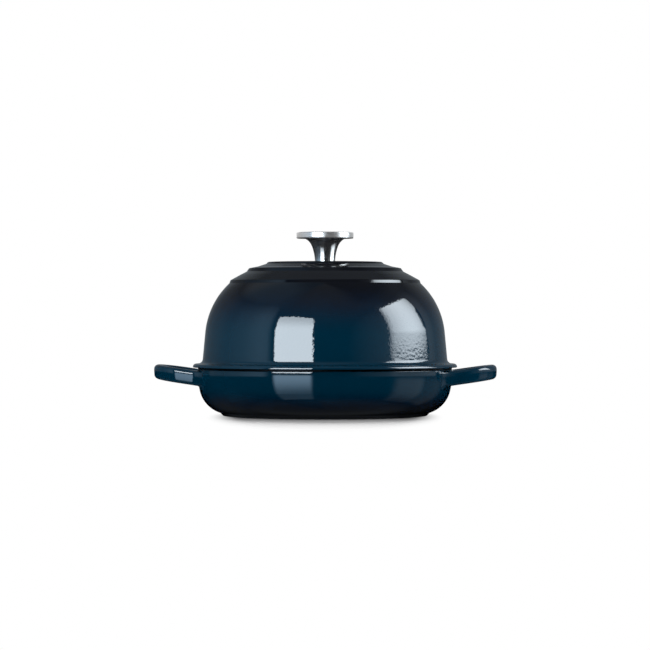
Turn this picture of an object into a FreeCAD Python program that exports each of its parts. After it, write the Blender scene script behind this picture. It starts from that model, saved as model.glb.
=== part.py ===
"""Bread cloche: a shallow enamelled cast iron dish with two loop handles, and a domed lid with a steel knob.

Millimetres. The foot stands on Z = 0 around the origin, Z points up and the two handles lie along X.
Outlines of turned and round pieces are drawn in the XZ plane as (radius, height, corner rounding).
"""
import FreeCAD
import Part
import math
import os

# Dish casting, its wall a barrel that is widest a little below the rim
DISH_RIM_RADIUS = 127.1
DISH_RIM_HEIGHT = 46.5
DISH_DRAFT = 6.0
DISH_SWELL_RADIUS = 76.0
DISH_SWELL_DROP = 3.9
DISH_BELLY_RADIUS = 31.0
DISH_WALL = 3.9
DISH_FLOOR = 4.7
RIM_BAND = 1.1
RIM_ROUNDING = 0.8
MOUTH_ROUNDING = 0.8
FOOT_INSET = 25.3
FOOT_HEIGHT = 2.9
FOOT_SPREAD = 2.8
FOOT_ROUNDING = 0.8

# Low rings cast on the floor of the dish
RIB_COUNT = 4
RIB_FIRST_RADIUS = 28.0
RIB_PITCH = 20.0
RIB_WIDTH = 4.0
RIB_HEIGHT = 0.8

# Loop handles of the dish
HANDLE_DROP = 8.45
HANDLE_TIP_RADIUS = 43.0
HANDLE_CORNER_STEP = 12.5
HANDLE_CORNER_REACH = 10.4
HANDLE_CORNER_SPREAD = 8.7
HANDLE_BAR = 10.8
HANDLE_THICKNESS = 14.8
HANDLE_ROOT_RADIUS = 28.7
HANDLE_INNER_RADIUS = 10.5
HANDLE_RISE = 9.0
HANDLE_EDGE_ROUNDING = 3.4
HANDLE_SINK = 2.5

# Dome casting
LIP_CLEARANCE = 1.2
LIP_WIDTH = 2.24
LIP_DROP = 3.4
LIP_TAPER = 0.3
LIP_ROUNDING = 0.7
LID_WALL = 3.5
LID_DRAFT = 5.5
SHOULDER_RADIUS = 78.0
FLANGE_OVERHANG = 4.9
FLANGE_THICKNESS = 5.3
FLANGE_FALL = 1.1
FLANGE_GAP = 1.8
FLANGE_FILLET = 3.2
FLANGE_TOP_ROUNDING = 3.0
FLANGE_BOTTOM_ROUNDING = 0.9
SEAT_INSET = 0.2
CROWN_WALL = 4.4
CROWN_OVERHANG = 3.0
CROWN_ROUNDING = 20.0

# Terraced rings on top of the dome, from the foot of the low ring: inwards, upwards, rounding of the corner
LOW_RING_INSET = 27.66
LOW_RING_HEIGHT = 85.7
TERRACES = (
    (1.4, 3.0, 1.5),
    (10.2, 5.8, 20.0),
    (5.7, 2.9, 1.0),
    (2.4, 3.4, 1.6),
    (8.9, 1.7, 8.0),
    (8.3, 2.7, 1.0),
    (1.8, 1.9, 2.2),
)

# Knob, its flare given as growth of the stem radius and drop below the disc
KNOB_HEIGHT = 29.6
KNOB_RADIUS = 28.5
KNOB_EDGE = 6.2
KNOB_EDGE_ROUNDING = 1.1
KNOB_HOLLOW_RIM = 4.0
KNOB_HOLLOW_SLOPE = 2.5
KNOB_HOLLOW_DEPTH = 0.8
UNDERSIDE_FALL = 0.4
STEM_RADIUS = 10.1
FLARE_GROWTH = 9.5
STEM_FLARE = ((5.9, 2.6), (3.3, 6.6), (1.6, 11.7))

# Fastener of the knob
SCREW_RADIUS = 3.0
SCREW_LENGTH = 19.5
SCREW_HEAD_RADIUS = 6.0
SCREW_HEAD_HEIGHT = 3.8
SCREW_HEAD_ROUNDING = 1.6
SCREW_TIP_ROUNDING = 0.6
DRIVE_LENGTH = 6.4
DRIVE_WIDTH = 1.3
DRIVE_DEPTH = 2.0
SCREW_CLEARANCE = 0.3
THREAD_CLEARANCE = 0.05
THREAD_END_GAP = 2.7
WASHER_CLEARANCE = 0.2
FLAT_WASHER_RADIUS = 8.0
FLAT_WASHER_THICKNESS = 1.2
SPRING_WASHER_RADIUS = 5.6
SPRING_WASHER_THICKNESS = 1.6
SPRING_GAP = 1.0
SPRING_GAP_TURN = 20.0

ORIGIN = FreeCAD.Vector(0, 0, 0)
UP = FreeCAD.Vector(0, 0, 1)
SIDEWAYS = FreeCAD.Vector(0, 1, 0)

# Places that follow from the sizes
LIP_RADIUS = DISH_RIM_RADIUS - DISH_WALL - LIP_CLEARANCE
LID_INSIDE_RADIUS = LIP_RADIUS - LIP_WIDTH
LID_WALL_RADIUS = LID_INSIDE_RADIUS + LID_WALL / math.cos(math.radians(LID_DRAFT))
LOW_RING_RADIUS = LID_WALL_RADIUS - LOW_RING_INSET
LOW_RING_FOOT = DISH_RIM_HEIGHT + LOW_RING_HEIGHT
PLATEAU_RADIUS = LOW_RING_RADIUS - sum(inwards for inwards, _, _ in TERRACES)
PLATEAU_HEIGHT = LOW_RING_FOOT + sum(upwards for _, upwards, _ in TERRACES)
CROWN_HEIGHT = PLATEAU_HEIGHT - CROWN_WALL
FLAT_WASHER_BOTTOM = CROWN_HEIGHT - FLAT_WASHER_THICKNESS
SPRING_WASHER_BOTTOM = FLAT_WASHER_BOTTOM - SPRING_WASHER_THICKNESS
SCREW_TIP = SPRING_WASHER_BOTTOM + SCREW_LENGTH


def slope(degrees):
    """Rise over run of a line at this angle."""
    return math.tan(math.radians(degrees))


def meet(first, first_slope, second, second_slope):
    """Point where two lines of the XZ plane cross, each given by a point and its run per unit of height."""
    height = (second[0] - first[0] + first_slope * first[1] - second_slope * second[1])
    height = height / (first_slope - second_slope)
    return first[0] + first_slope * (height - first[1]), height


def lean_at(point, centre):
    """Run per unit of height of the tangent at a point of a circle in the XZ plane."""
    return -(point[1] - centre[1]) / (point[0] - centre[0])


def reached(first, first_distance, second, second_distance):
    """Point at these distances from two points of a plane, on the left of the way from first to second."""
    way = (second[0] - first[0], second[1] - first[1])
    length = math.hypot(*way)
    along = (first_distance ** 2 - second_distance ** 2 + length ** 2) / (2 * length)
    aside = math.sqrt(first_distance ** 2 - along ** 2)
    x = first[0] + (way[0] * along - way[1] * aside) / length
    y = first[1] + (way[1] * along + way[0] * aside) / length
    return x, y


def bend_corner(wall_foot, lean, end, radius, up):
    """Corner rounded off by an arc of this radius, which leaves a leaning wall smoothly and stops at the end.

    The wall runs through its foot and gains lean in radius per unit of height. The arc turns inwards above
    the wall for up = 1 and below it for up = -1.
    """
    side = math.hypot(1, lean)
    centre_x = wall_foot[0] - radius * side
    # The centre moves along the line parallel to the wall until the end point lies on the circle
    far_x = centre_x - lean * wall_foot[1] - end[0]
    a = 1 + lean ** 2
    b = lean * far_x - end[1]
    c = far_x ** 2 + end[1] ** 2 - radius ** 2
    centre_z = (-b - up * math.sqrt(b ** 2 - a * c)) / a
    centre_x = centre_x + lean * (centre_z - wall_foot[1])
    return meet(end, lean_at(end, (centre_x, centre_z)), wall_foot, lean)


def rounded_face(corners):
    """Face of the XZ plane inside the corners (x, z, rounding), each corner turned by an arc."""
    points = [FreeCAD.Vector(x, 0, z) for x, z, _ in corners]
    turns = []
    for index, (_, _, rounding) in enumerate(corners):
        here = points[index]
        back = (points[index - 1] - here).normalize()
        onward = (points[(index + 1) % len(points)] - here).normalize()
        if rounding == 0:
            turns.append((here, None, here))
            continue
        half_angle = back.getAngle(onward) / 2
        middle = (back + onward).normalize()
        trim = rounding / math.tan(half_angle)
        top = here + middle * (rounding / math.sin(half_angle) - rounding)
        turns.append((here + back * trim, top, here + onward * trim))
    edges = []
    for index, (start, top, end) in enumerate(turns):
        before = turns[index - 1][2]
        if before.distanceToPoint(start) > 1e-6:
            edges.append(Part.LineSegment(before, start).toShape())
        if top is not None:
            edges.append(Part.Arc(start, top, end).toShape())
    return Part.Face(Part.Wire(edges))


def turned(corners):
    """Solid of revolution about Z with the outline given by the corners."""
    return rounded_face(corners).revolve(ORIGIN, UP, 360)


def ring(outer, inner, bottom, height):
    """Plain flat ring about Z."""
    disc = Part.makeCylinder(outer, height, FreeCAD.Vector(0, 0, bottom))
    return disc.cut(Part.makeCylinder(inner, height, FreeCAD.Vector(0, 0, bottom)))


def dish_bowl():
    """Body of the dish: flat foot, round belly, barrel wall, flat rim and a drafted hollow."""
    foot_radius = DISH_RIM_RADIUS - FOOT_INSET
    foot_top = (foot_radius + FOOT_SPREAD, FOOT_HEIGHT)
    rim = (DISH_RIM_RADIUS, DISH_RIM_HEIGHT)

    # The barrel arc runs up to a narrow straight band below the rim
    rise = DISH_SWELL_DROP - RIM_BAND
    reach = math.sqrt(DISH_SWELL_RADIUS ** 2 - rise ** 2)
    band_radius = DISH_RIM_RADIUS + RIM_BAND * rise / reach
    band = (band_radius, DISH_RIM_HEIGHT - RIM_BAND)
    swell_centre = (band_radius - reach, DISH_RIM_HEIGHT - DISH_SWELL_DROP)

    # The belly arc touches the barrel arc from inside and ends on the foot
    inside = DISH_SWELL_RADIUS - DISH_BELLY_RADIUS
    belly_centre = reached(swell_centre, inside, foot_top, DISH_BELLY_RADIUS)
    away = [(belly - swell) / inside for belly, swell in zip(belly_centre, swell_centre)]
    touch = [swell + DISH_SWELL_RADIUS * step for swell, step in zip(swell_centre, away)]
    touch_lean = lean_at(touch, swell_centre)
    swell = meet(band, lean_at(band, swell_centre), touch, touch_lean)
    belly = meet(touch, touch_lean, foot_top, lean_at(foot_top, belly_centre))

    mouth = (DISH_RIM_RADIUS - DISH_WALL, DISH_RIM_HEIGHT)
    corner = mouth[0] - slope(DISH_DRAFT) * (DISH_RIM_HEIGHT - DISH_FLOOR)
    return turned([
        (0, 0, 0),
        (foot_radius, 0, FOOT_ROUNDING),
        (*foot_top, 0),
        (*belly, DISH_BELLY_RADIUS),
        (*swell, DISH_SWELL_RADIUS),
        (*rim, RIM_ROUNDING),
        (*mouth, MOUTH_ROUNDING),
        (corner, DISH_FLOOR, DISH_BELLY_RADIUS - DISH_WALL),
        (0, DISH_FLOOR, 0),
    ])


def floor_rib(radius):
    """One low rounded ring on the floor of the dish."""
    crown = RIB_WIDTH ** 2 / (8 * RIB_HEIGHT) + RIB_HEIGHT / 2
    rib = Part.makeTorus(radius, crown, FreeCAD.Vector(0, 0, DISH_FLOOR + RIB_HEIGHT - crown))
    root = FreeCAD.Vector(0, 0, DISH_FLOOR - RIB_HEIGHT / 2)
    above = Part.makeCylinder(radius + RIB_WIDTH, 2 * crown, root)
    return rib.common(above)


def flipped(point):
    """The point mirrored in the XZ plane."""
    return FreeCAD.Vector(point.x, -point.y, point.z)


def short_arc(centre, start, end):
    """Edge from start to end along the shorter arc around the centre."""
    out = ((start + end) / 2 - centre).normalize()
    return Part.Arc(start, centre + out * centre.distanceToPoint(start), end).toShape()


def handle_outline(wall):
    """Flat horseshoe outline in the XY plane: the loop in plan, with its two ends inside the dish wall."""
    corner = HANDLE_TIP_RADIUS - HANDLE_CORNER_STEP
    hole_corner = corner - HANDLE_BAR

    # The two corner arcs are tighter than the tip arc and touch it from inside
    hub = FreeCAD.Vector(DISH_RIM_RADIUS + HANDLE_CORNER_REACH, HANDLE_CORNER_SPREAD, 0)
    tip_drop = math.sqrt(HANDLE_CORNER_STEP ** 2 - HANDLE_CORNER_SPREAD ** 2)
    tip = FreeCAD.Vector(hub.x - tip_drop, 0, 0)
    tip_side = (hub - tip).normalize()
    outer_tip = hub + tip_side * corner
    hole_tip = hub + tip_side * hole_corner

    # The root arc touches the corner arc and the wall circle from outside
    far = wall + HANDLE_ROOT_RADIUS
    near = corner + HANDLE_ROOT_RADIUS
    root = FreeCAD.Vector(*reached(ORIGIN, far, hub, near), 0)
    outer_join = hub + (root - hub) * (corner / near)
    outer_end = root * (wall / far)

    # A small arc leads from the side of the finger hole to the wall
    hole_side = hub + SIDEWAYS * hole_corner
    small_far = wall + HANDLE_INNER_RADIUS
    small_y = hole_side.y - HANDLE_INNER_RADIUS
    small = FreeCAD.Vector(math.sqrt(small_far ** 2 - small_y ** 2), small_y, 0)
    inner_join = small + SIDEWAYS * HANDLE_INNER_RADIUS
    inner_end = small * (wall / small_far)

    edges = [
        short_arc(tip, outer_tip, flipped(outer_tip)),
        short_arc(tip, hole_tip, flipped(hole_tip)),
        Part.LineSegment(hole_side, inner_join).toShape(),
        Part.LineSegment(flipped(hole_side), flipped(inner_join)).toShape(),
    ]
    arcs = (
        (root, outer_end, outer_join),
        (hub, outer_join, outer_tip),
        (hub, hole_tip, hole_side),
        (small, inner_join, inner_end),
        (ORIGIN, inner_end, outer_end),
    )
    for arc in arcs:
        edges.append(short_arc(*arc))
        edges.append(short_arc(*[flipped(point) for point in arc]))
    return Part.Face(Part.Wire(Part.__sortEdges__(edges)))


def loop_handle():
    """Right loop handle: the horseshoe with well rounded edges, rising outwards."""
    wall = DISH_RIM_RADIUS - HANDLE_SINK
    middle = DISH_RIM_HEIGHT - HANDLE_DROP
    slab = handle_outline(wall).extrude(UP * HANDLE_THICKNESS)
    round_edges = []
    for edge in slab.Edges:
        level = edge.BoundBox.ZLength < 1e-6
        on_wall = all(abs(math.hypot(v.X, v.Y) - wall) < 1e-6 for v in edge.Vertexes)
        if level and not on_wall:
            round_edges.append(edge)
    slab = slab.makeFillet(HANDLE_EDGE_ROUNDING, round_edges)
    slab.translate(FreeCAD.Vector(0, 0, middle - HANDLE_THICKNESS / 2))
    slab.rotate(FreeCAD.Vector(DISH_RIM_RADIUS, 0, middle), SIDEWAYS, -HANDLE_RISE)
    return slab


def base_dish():
    """Dish with its floor rings and both handles, one casting."""
    right = loop_handle()
    left = right.copy()
    left.rotate(ORIGIN, UP, 180)
    ribs = [floor_rib(RIB_FIRST_RADIUS + index * RIB_PITCH) for index in range(RIB_COUNT)]
    return dish_bowl().fuse([right, left, *ribs]).removeSplitter()


def lid_dome():
    """Dome with rings, flange, flat seat and the lip that drops into the dish, bored for the knob screw."""
    draft = slope(LID_DRAFT)
    low_ring = (LOW_RING_RADIUS, LOW_RING_FOOT)
    rings = [(*low_ring, 0)]
    for inwards, upwards, rounding in TERRACES:
        radius, height, _ = rings[-1]
        rings.append((radius - inwards, height + upwards, rounding))
    shoulder = bend_corner((LID_WALL_RADIUS, DISH_RIM_HEIGHT), -draft, low_ring, SHOULDER_RADIUS, 1)

    # Flange around the foot of the dome, and the rebate above the rim of the dish
    flange_bottom = DISH_RIM_HEIGHT + FLANGE_GAP
    flange_top = flange_bottom + FLANGE_THICKNESS
    flange_radius = DISH_RIM_RADIUS + FLANGE_OVERHANG
    flange_edge = FLANGE_THICKNESS - FLANGE_FALL
    top_rounding = min(FLANGE_TOP_ROUNDING, 0.8 * flange_edge)
    flange_joint = LID_WALL_RADIUS - draft * (flange_top - DISH_RIM_HEIGHT)
    seat_radius = DISH_RIM_RADIUS - SEAT_INSET

    # Hollow: the drafted wall down to the lip, and a straight slope under the rings up to the flat crown
    across = FreeCAD.Vector(shoulder[1] - low_ring[1], 0, low_ring[0] - shoulder[0]).normalize() * LID_WALL
    under_ring = (low_ring[0] + across.x, low_ring[1] + across.z)
    crown = (PLATEAU_RADIUS + CROWN_OVERHANG, CROWN_HEIGHT)
    fall = (under_ring[0] - crown[0]) / (under_ring[1] - crown[1])
    inside_foot = (LID_INSIDE_RADIUS, DISH_RIM_HEIGHT)
    inside_shoulder = meet(crown, fall, inside_foot, -draft)
    lip_bottom = DISH_RIM_HEIGHT - LIP_DROP

    shell = turned([
        (0, PLATEAU_HEIGHT, 0),
        *reversed(rings),
        (*shoulder, SHOULDER_RADIUS),
        (flange_joint, flange_top, FLANGE_FILLET),
        (flange_radius, flange_bottom + flange_edge, top_rounding),
        (flange_radius, flange_bottom, FLANGE_BOTTOM_ROUNDING),
        (seat_radius, flange_bottom, 0),
        (seat_radius, DISH_RIM_HEIGHT, 0),
        (LIP_RADIUS, DISH_RIM_HEIGHT, 0),
        (LIP_RADIUS - LIP_TAPER, lip_bottom, LIP_ROUNDING),
        (LID_INSIDE_RADIUS + draft * LIP_DROP, lip_bottom, LIP_ROUNDING),
        (*inside_shoulder, SHOULDER_RADIUS),
        (*crown, CROWN_ROUNDING),
        (0, CROWN_HEIGHT, 0),
    ])
    return shell.cut(Part.makeCylinder(SCREW_RADIUS + SCREW_CLEARANCE, PLATEAU_HEIGHT))


def lid_knob():
    """Knob: a disc with a shallow hollow on top, on a flared stem with a blind threaded bore from below."""
    top = PLATEAU_HEIGHT + KNOB_HEIGHT
    underside = top - KNOB_EDGE - UNDERSIDE_FALL
    flare_radius = STEM_RADIUS + FLARE_GROWTH
    hollow_radius = KNOB_RADIUS - KNOB_HOLLOW_RIM
    disc = turned([
        (0, underside, 0),
        (flare_radius, underside, 0),
        (KNOB_RADIUS, top - KNOB_EDGE, KNOB_EDGE_ROUNDING),
        (KNOB_RADIUS, top, KNOB_EDGE_ROUNDING),
        (hollow_radius, top, KNOB_HOLLOW_SLOPE),
        (hollow_radius - KNOB_HOLLOW_SLOPE, top - KNOB_HOLLOW_DEPTH, KNOB_HOLLOW_SLOPE),
        (0, top - KNOB_HOLLOW_DEPTH, 0),
    ])
    foot = FreeCAD.Vector(STEM_RADIUS, 0, PLATEAU_HEIGHT)
    neck = FreeCAD.Vector(flare_radius, 0, underside)
    between = [FreeCAD.Vector(STEM_RADIUS + growth, 0, underside - drop) for growth, drop in STEM_FLARE]
    flare = Part.BSplineCurve()
    flare.interpolate([neck, *between, foot])
    axis_top = FreeCAD.Vector(0, 0, underside)
    axis_bottom = FreeCAD.Vector(0, 0, PLATEAU_HEIGHT)
    outline = Part.Wire([
        flare.toShape(),
        Part.LineSegment(foot, axis_bottom).toShape(),
        Part.LineSegment(axis_bottom, axis_top).toShape(),
        Part.LineSegment(axis_top, neck).toShape(),
    ])
    stem = Part.Face(outline).revolve(ORIGIN, UP, 360)
    bore_depth = SCREW_TIP + THREAD_END_GAP - PLATEAU_HEIGHT
    bore = Part.makeCylinder(SCREW_RADIUS + THREAD_CLEARANCE, bore_depth, axis_bottom)
    return disc.fuse(stem).removeSplitter().cut(bore)


def knob_screw():
    """Pan head machine screw, head down inside the dome, with a cross drive."""
    head_bottom = SPRING_WASHER_BOTTOM - SCREW_HEAD_HEIGHT
    screw = turned([
        (0, head_bottom, 0),
        (SCREW_HEAD_RADIUS, head_bottom, SCREW_HEAD_ROUNDING),
        (SCREW_HEAD_RADIUS, SPRING_WASHER_BOTTOM, 0),
        (SCREW_RADIUS, SPRING_WASHER_BOTTOM, 0),
        (SCREW_RADIUS, SCREW_TIP, SCREW_TIP_ROUNDING),
        (0, SCREW_TIP, 0),
    ])
    for length, width in ((DRIVE_LENGTH, DRIVE_WIDTH), (DRIVE_WIDTH, DRIVE_LENGTH)):
        corner = FreeCAD.Vector(-length / 2, -width / 2, head_bottom)
        screw = screw.cut(Part.makeBox(length, width, DRIVE_DEPTH, corner))
    return screw


def flat_washer():
    """Washer against the enamel of the crown."""
    hole = SCREW_RADIUS + WASHER_CLEARANCE
    return ring(FLAT_WASHER_RADIUS, hole, FLAT_WASHER_BOTTOM, FLAT_WASHER_THICKNESS)


def spring_washer():
    """Split washer, its gap cut at a slant."""
    hole = SCREW_RADIUS + WASHER_CLEARANCE
    washer = ring(SPRING_WASHER_RADIUS, hole, SPRING_WASHER_BOTTOM, SPRING_WASHER_THICKNESS)
    middle = SPRING_WASHER_BOTTOM + SPRING_WASHER_THICKNESS / 2
    corner = FreeCAD.Vector(0, -SPRING_GAP / 2, middle - 2 * SPRING_WASHER_THICKNESS)
    gap = Part.makeBox(2 * SPRING_WASHER_RADIUS, SPRING_GAP, 4 * SPRING_WASHER_THICKNESS, corner)
    gap.rotate(FreeCAD.Vector(0, 0, middle), FreeCAD.Vector(1, 0, 0), SPRING_GAP_TURN)
    return washer.cut(gap)


os.makedirs("parts", exist_ok=True)
for piece in (base_dish, lid_dome, lid_knob, knob_screw, flat_washer, spring_washer):
    piece().exportStep(f"parts/{piece.__name__}.step")
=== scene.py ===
# %% [markdown]
# # Bread cloche
#
# A bread cloche is a small oven of enamelled cast iron: a shallow dish with two loop handles, and a dome
# that stands on its rim and is lifted off by a steel knob. The construction model already has every size.
# This lesson dresses it. Each casting gets a new skin, worked out with numpy from its section, because
# a skin with its own points can carry soft edges and marks for the finishes. The small fasteners keep
# their construction meshes and only get a better steel.

# %% Load the construction model
import math

import bmesh
import bpy
import numpy as np
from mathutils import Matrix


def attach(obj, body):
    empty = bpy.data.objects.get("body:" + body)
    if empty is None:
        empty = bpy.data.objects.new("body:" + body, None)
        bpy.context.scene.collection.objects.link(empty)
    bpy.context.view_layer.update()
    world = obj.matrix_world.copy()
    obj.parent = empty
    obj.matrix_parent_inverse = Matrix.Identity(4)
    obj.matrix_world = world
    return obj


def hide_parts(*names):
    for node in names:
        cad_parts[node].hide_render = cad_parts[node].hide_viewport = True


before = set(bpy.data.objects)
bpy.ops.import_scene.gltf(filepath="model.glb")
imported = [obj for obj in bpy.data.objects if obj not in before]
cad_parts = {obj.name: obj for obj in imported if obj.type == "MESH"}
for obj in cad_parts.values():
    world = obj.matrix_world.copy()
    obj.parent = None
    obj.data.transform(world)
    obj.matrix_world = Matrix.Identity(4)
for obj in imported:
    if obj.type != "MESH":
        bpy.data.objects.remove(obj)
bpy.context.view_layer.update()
print("nodes:", sorted(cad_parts))

# %% [markdown]
# ## Camera
#
# The photograph was taken from a few metres away with the lens a hand above the table, so the rims look
# like almost straight lines. A long lens at 2.9 m gives the same view: one millimetre in the middle of the
# object is one pixel of a picture 650 pixels wide. The handles show that the object was turned by three
# degrees, so the camera goes round it by as much. It comes first, so that every later step can be looked
# at straight away.

# %% Set up the camera
CAMERA_DISTANCE = 2.9
CAMERA_HEIGHT = 0.1045
CAMERA_AIM = 0.0905
CAMERA_TURN = math.radians(3.3)
LENS = 160.6
SENSOR_WIDTH = 36.0

scene = bpy.context.scene
scene.view_settings.view_transform = "Standard"
camera = bpy.data.objects.new("camera", bpy.data.cameras.new("camera"))
camera.data.lens = LENS
camera.data.sensor_width = SENSOR_WIDTH
camera.location = (
    CAMERA_DISTANCE * math.sin(CAMERA_TURN),
    -CAMERA_DISTANCE * math.cos(CAMERA_TURN),
    CAMERA_HEIGHT,
)
look_down = math.atan2(CAMERA_HEIGHT - CAMERA_AIM, CAMERA_DISTANCE)
camera.rotation_euler = (math.pi / 2 - look_down, 0.0, CAMERA_TURN)
scene.collection.objects.link(camera)
scene.camera = camera
print("camera at", tuple(round(part, 4) for part in camera.location))

# %% [markdown]
# ## Outlines with rounded corners
#
# A casting has no sharp corner: the sand rounds it and the enamel rounds it again. So a section is written
# as a short list of corners, each with its own rounding, and one function draws the line through them.
# A Bevel modifier could round the corners later, but it would round them all alike, and the light that
# runs along each edge of the enamel shows the difference.

# %% Draw a line with rounded corners
STRAIGHT_STEP = 4.0
END_STEP = 0.4
ARC_STEP = 2.4
ARC_DEGREES = 6.0
LEAST_TURN = 1e-4


def straight_run(start, end):
    """Points strictly between two ends: one close to each end, and one every few mm between them.

    The close ones keep the smooth shading of a rounded corner inside the corner.
    """
    length = math.dist(start, end)
    if length < 3 * END_STEP:
        return np.empty((0, 2))
    middle = np.linspace(END_STEP, length - END_STEP, max(2, math.ceil(length / STRAIGHT_STEP)))
    return start + np.outer(middle / length, end - start)


def corner_arc(before, here, after, rounding):
    """Arc that touches both sides of a corner.

    With half the corner's angle h, the arc starts and ends rounding / tan h from the corner, and turns
    through 180 degrees less 2 h. A point of it is its centre plus the blend, by sines, of its end spokes.
    """
    back = (before - here) / math.dist(before, here)
    onward = (after - here) / math.dist(after, here)
    half = math.acos(np.clip(back @ onward, -1, 1)) / 2
    turn = math.pi - 2 * half
    if rounding == 0 or turn < LEAST_TURN:
        return here[None]
    start = here + back * rounding / math.tan(half)
    end = here + onward * rounding / math.tan(half)
    centre = (start + end) / 2 + (start + end - 2 * here) / 2 * math.tan(half) ** 2
    count = max(4, math.ceil(math.degrees(turn) / ARC_DEGREES), math.ceil(rounding * turn / ARC_STEP))
    part = np.linspace(0, 1, count + 1)[:, None]
    spokes = np.sin((1 - part) * turn) * (start - centre) + np.sin(part * turn) * (end - centre)
    return centre + spokes / math.sin(turn)


def rounded_line(corners):
    """Line through corners (radius, height, rounding) in mm: an arc at each corner, a run between them."""
    corners = np.array(corners, float)
    spots = corners[:, :2]
    inner = zip(spots[:-2], spots[1:-1], spots[2:], corners[1:-1, 2])
    arcs = [spots[:1], *(corner_arc(*corner) for corner in inner), spots[-1:]]
    runs = [straight_run(first[-1], second[0]) for first, second in zip(arcs, arcs[1:])]
    return np.concatenate([part for pair in zip(arcs, [*runs, runs[0][:0]]) for part in pair])


print("points round a 2 mm corner:", len(rounded_line([(10, 0, 0), (10, 10, 2), (0, 10, 0)])))

# %% [markdown]
# ## From a grid of points to a piece
#
# Every new skin here is a grid of points: along its section one way and round the axis or along the handle
# the other way. The faces of a grid are the same pattern each time, so one function makes them, and another
# puts one or more grids into a mesh. Points that fall together at a pole are merged there, and the faces
# are turned outwards. Marks are numbers on the points, such as 1 on the inside of a dish, that the
# finishes read.

# %% Make a piece from grids
MM = 0.001
MERGE_DISTANCE = 1e-7


def grid_faces(rows, columns, close_rows, close_columns):
    """Quads between neighbouring rows and columns; a closed direction joins its last line to its first."""
    index = np.arange(rows * columns).reshape(rows, columns)
    if close_rows:
        index = np.vstack([index, index[:1]])
    if close_columns:
        index = np.hstack([index, index[:, :1]])
    corners = [index[:-1, :-1], index[:-1, 1:], index[1:, 1:], index[1:, :-1]]
    return np.stack(corners, axis=-1).reshape(-1, 4)


def turned_grid(line, sides):
    """Surface of revolution: the point (r, z) of the line goes to (r cos a, r sin a, z) for each angle a."""
    angle = np.linspace(0, 2 * math.pi, sides, endpoint=False)
    x = np.outer(line[:, 0], np.cos(angle))
    y = np.outer(line[:, 0], np.sin(angle))
    z = np.outer(line[:, 1], np.ones(sides))
    return np.stack([x, y, z], axis=-1)


def make_piece(name, grids, material):
    """Object from grids (points in mm, close rows, close columns, marks), with marks for each point."""
    points, faces, marks, first = [], [], [], 0
    for grid, close_rows, close_columns, values in grids:
        rows, columns = grid.shape[:2]
        points.append(grid.reshape(-1, 3) * MM)
        faces.append(grid_faces(rows, columns, close_rows, close_columns) + first)
        marks.append({key: np.broadcast_to(value, (rows, columns)).ravel() for key, value in values.items()})
        first += rows * columns
    mesh = bpy.data.meshes.new(name)
    mesh.from_pydata(np.concatenate(points), [], np.concatenate(faces).tolist())
    for mark in marks[0]:
        attribute = mesh.attributes.new(mark, "FLOAT", "POINT")
        attribute.data.foreach_set("value", np.concatenate([part[mark] for part in marks]).astype(np.float32))
    sheet = bmesh.new()
    sheet.from_mesh(mesh)
    bmesh.ops.remove_doubles(sheet, verts=sheet.verts, dist=MERGE_DISTANCE)
    bmesh.ops.recalc_face_normals(sheet, faces=sheet.faces)
    volume = sheet.calc_volume(signed=True)
    sheet.to_mesh(mesh)
    sheet.free()
    mesh.shade_smooth()
    mesh.materials.append(material)
    piece = bpy.data.objects.new(name, mesh)
    scene.collection.objects.link(piece)
    print(f"{name}: {len(mesh.polygons)} faces, {1e6 * volume:.0f} cubic cm")
    return piece


# %% [markdown]
# ## Shader arithmetic
#
# A finish is a sum of small effects, and as node links such sums are hard to read. This class wraps an
# output socket so that plus, minus and times can be written as usual, and each one adds a Math node.

# %% Wrap a socket


class Wire:
    """An output socket with arithmetic: an expression on wires and numbers adds its Math nodes."""

    def __init__(self, finish, socket):
        self.finish = finish
        self.socket = socket

    def __add__(self, other):
        return self.finish.math("ADD", self, other)

    def __radd__(self, other):
        return self.finish.math("ADD", other, self)

    def __sub__(self, other):
        return self.finish.math("SUBTRACT", self, other)

    def __rsub__(self, other):
        return self.finish.math("SUBTRACT", other, self)

    def __mul__(self, other):
        return self.finish.math("MULTIPLY", self, other)

    def __rmul__(self, other):
        return self.finish.math("MULTIPLY", other, self)


# %% Wrap a material


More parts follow.
